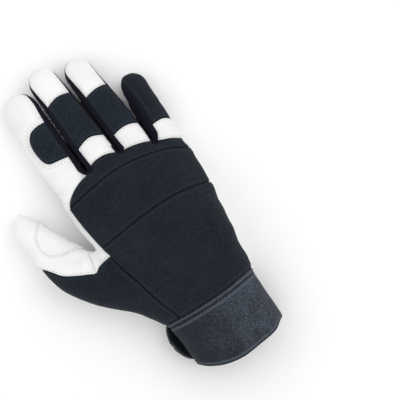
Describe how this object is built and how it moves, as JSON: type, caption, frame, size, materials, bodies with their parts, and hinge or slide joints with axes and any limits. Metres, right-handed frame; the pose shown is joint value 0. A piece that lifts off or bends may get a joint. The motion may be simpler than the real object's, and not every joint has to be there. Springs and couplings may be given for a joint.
{
  "type": "mechanic glove",
  "caption": "Right-hand mechanic's work glove: white leather palm and thumb, black padded stretch back in sewn panels, elastic cuff with a closing strap under the wrist.",
  "frame": {"origin": "middle of the footprint, on the surface that the glove lies on", "axes": "+Z out of the back of the hand, +Y towards the fingertips, the thumb on the -X side"},
  "size_m": [0.1354, 0.244, 0.043],
  "materials": {
    "leather": "smooth white grain leather, satin",
    "stretch_cloth": "blue-black padded stretch knit, matt",
    "side_cloth": "very dark navy stretch knit, matt",
    "elastic": "heathered charcoal elastic, matt",
    "strap": "dark laminated strap, low sheen",
    "underlap": "black stretch knit, matt"
  },
  "bodies": {
    "root": {"palm_leather": "leather", "thumb_leather": "leather", "thumb_patch": "leather", "middle_tip": "leather", "middle_band": "leather", "ring_tip": "leather", "ring_band": "leather", "little_band": "leather", "back_lower_panel": "stretch_cloth", "back_mid_panel": "stretch_cloth", "knuckle_panel": "stretch_cloth", "thumb_side_panel": "stretch_cloth", "index_knuckle_pad": "stretch_cloth", "middle_knuckle_pad": "stretch_cloth", "ring_knuckle_pad": "stretch_cloth", "little_back": "stretch_cloth", "fourchette_index_middle": "side_cloth", "fourchette_middle_ring": "side_cloth", "fourchette_ring_little": "side_cloth", "cuff_band": "elastic", "cuff_binding": "elastic", "wrist_strap": "strap", "cuff_base": "underlap"}
  },
  "joints": []
}
